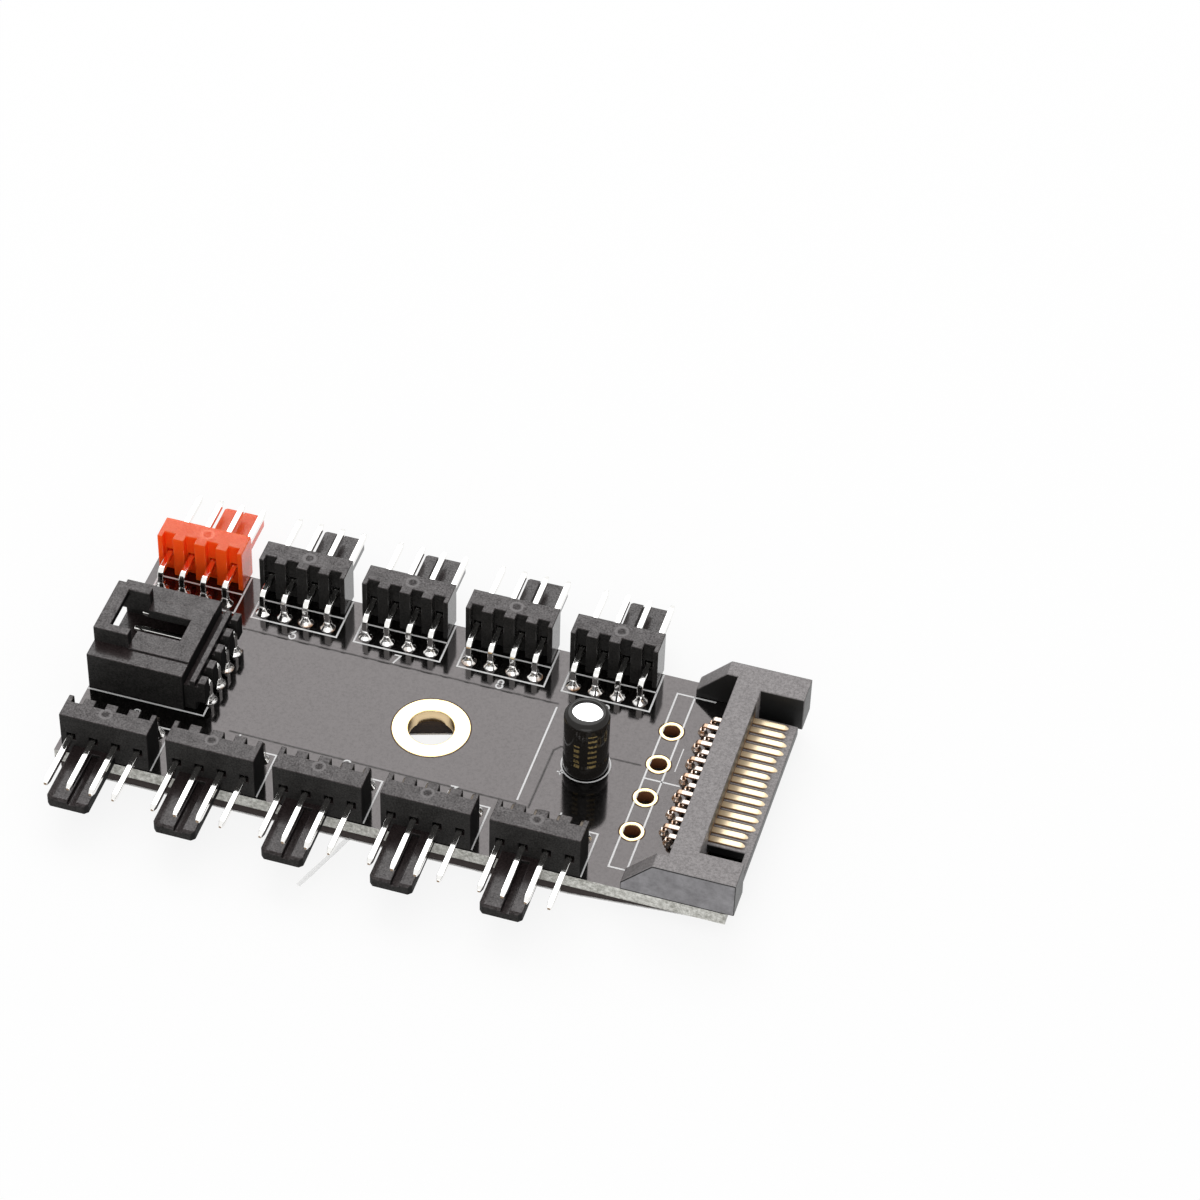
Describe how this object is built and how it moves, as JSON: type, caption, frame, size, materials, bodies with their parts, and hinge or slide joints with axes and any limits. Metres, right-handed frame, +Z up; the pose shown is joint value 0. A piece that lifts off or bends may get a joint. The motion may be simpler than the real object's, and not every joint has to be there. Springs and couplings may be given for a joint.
{
  "type": "pc fan controller hub",
  "caption": "Small black circuit board that shares a fan signal and a power plug among rows of right-angle fan headers, with an input header and a central mounting hole",
  "frame": {"origin": "on the axis of the mounting hole, on the underside of the board", "axes": "+X along the board to the power plug, +Y to the back row of headers, +Z up from the board"},
  "size_m": [0.0759, 0.0476, 0.0114],
  "materials": {
    "solder_mask": "glossy black solder mask over glass-fibre laminate",
    "black_nylon": "satin moulded nylon",
    "red_nylon": "satin moulded nylon, red",
    "charcoal_nylon": "fine-grained moulded plastic, charcoal",
    "tinned_brass": "bright tin plate over brass",
    "solder": "bright solder",
    "gold_plate": "thin gold plate",
    "can_aluminium": "plain drawn aluminium",
    "black_sleeve": "shrunk plastic sleeve",
    "black_rubber": "rubber seal",
    "black_foam": "closed-cell adhesive foam",
    "white_liner": "waxed paper liner",
    "white_ink": "white ink printed on the solder mask"
  },
  "bodies": {
    "root": {"circuit_board": "solder_mask", "mounting_ring": "gold_plate", "power_pads": "gold_plate", "front_housing_1": "black_nylon", "front_pins_1": "tinned_brass", "front_solder_1": "solder", "front_housing_2": "black_nylon", "front_pins_2": "tinned_brass", "front_solder_2": "solder", "front_housing_3": "black_nylon", "front_pins_3": "tinned_brass", "front_solder_3": "solder", "front_housing_4": "black_nylon", "front_pins_4": "tinned_brass", "front_solder_4": "solder", "front_housing_5": "black_nylon", "front_pins_5": "tinned_brass", "front_solder_5": "solder", "red_housing": "red_nylon", "red_pins": "tinned_brass", "red_solder": "solder", "back_housing_6": "black_nylon", "back_pins_6": "tinned_brass", "back_solder_6": "solder", "back_housing_7": "black_nylon", "back_pins_7": "tinned_brass", "back_solder_7": "solder", "back_housing_8": "black_nylon", "back_pins_8": "tinned_brass", "back_solder_8": "solder", "back_housing_9": "black_nylon", "back_pins_9": "tinned_brass", "back_solder_9": "solder", "input_housing": "black_nylon", "input_pins": "tinned_brass", "input_solder": "solder", "plug_housing": "charcoal_nylon", "plug_blades": "gold_plate", "plug_solder": "solder", "capacitor_can": "can_aluminium", "capacitor_sleeve": "black_sleeve", "capacitor_seal": "black_rubber", "capacitor_leads": "tinned_brass", "capacitor_solder": "solder", "foam_pad": "black_foam", "release_liner": "white_liner"}
  },
  "joints": []
}
